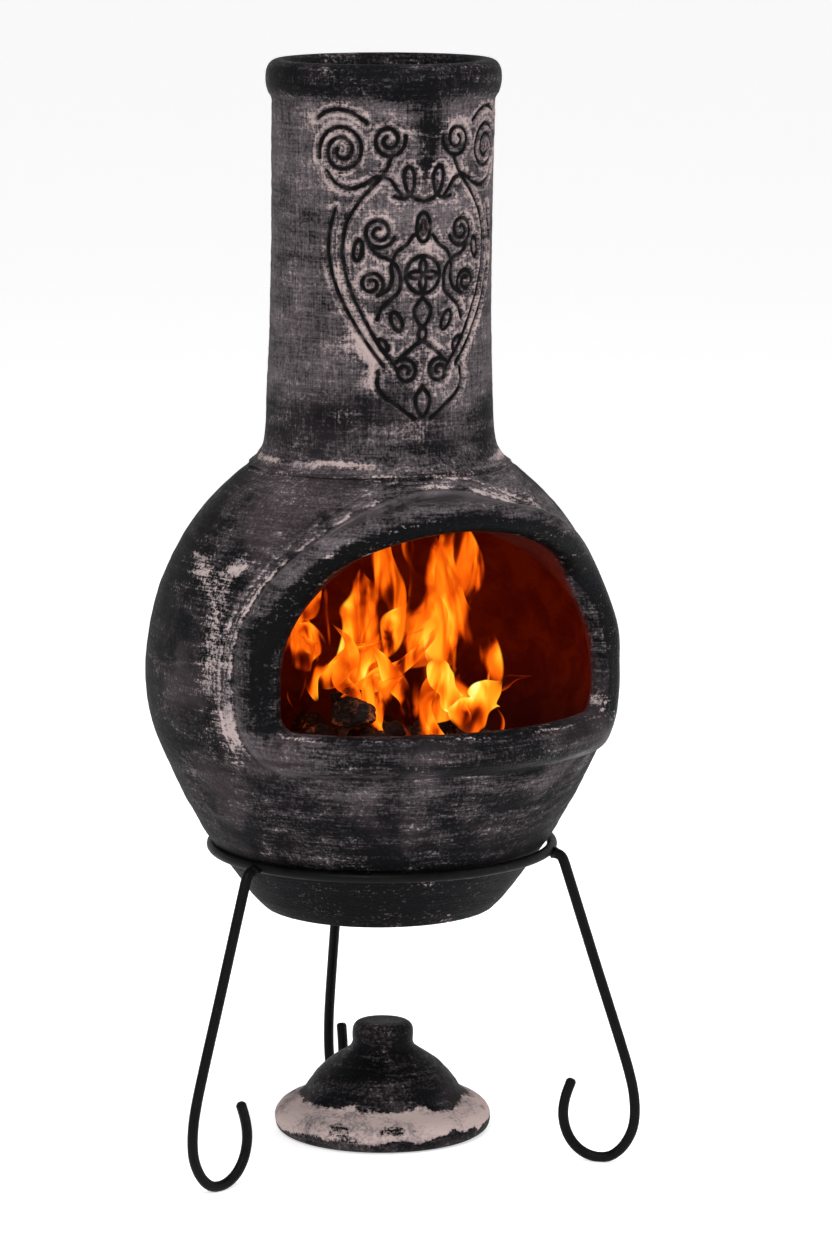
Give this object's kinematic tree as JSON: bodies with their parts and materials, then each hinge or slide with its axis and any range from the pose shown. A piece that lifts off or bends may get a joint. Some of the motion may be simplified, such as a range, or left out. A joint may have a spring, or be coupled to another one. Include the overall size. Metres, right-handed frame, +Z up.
{
  "type": "chiminea",
  "caption": "Free-standing clay chiminea: round fire bowl with an arched mouth, carved chimney neck, round-bar tripod stand, loose domed lid, sand bed and charcoal.",
  "frame": {"origin": "on the floor, under the flue's axis", "axes": "+Z up along the flue, -Y out of the mouth, +X to the right of someone facing the mouth"},
  "size_m": [0.4612, 0.4904, 1.056],
  "materials": {
    "clay": "matt black wash over fired clay, rubbed back to pale clay on ridges and carving",
    "black_steel": "satin black paint on round steel bar",
    "sand": "dry loose sand, sooted",
    "charcoal": "broken lump charcoal, matt"
  },
  "bodies": {
    "stand": {"stand_ring": "black_steel", "leg_left": "black_steel", "leg_right": "black_steel", "leg_rear": "black_steel"},
    "vessel": {"fire_bowl": "clay", "chimney": "clay", "sand_bed": "sand", "charcoal_01": "charcoal", "charcoal_02": "charcoal", "charcoal_03": "charcoal", "charcoal_04": "charcoal", "charcoal_05": "charcoal", "charcoal_06": "charcoal", "charcoal_07": "charcoal", "charcoal_08": "charcoal", "charcoal_09": "charcoal", "charcoal_10": "charcoal", "charcoal_11": "charcoal", "charcoal_12": "charcoal"},
    "lid": {"lid": "clay"}
  },
  "joints": [
    {"name": "vessel_lift", "type": "slide", "parent": "stand", "child": "vessel", "axis": [0, 0, 1], "range_m": [0, 0.15]},
    {"name": "lid_slide_out", "type": "slide", "parent": "stand", "child": "lid", "axis": [0, -1, 0], "range_m": [0, 0.5]}
  ]
}
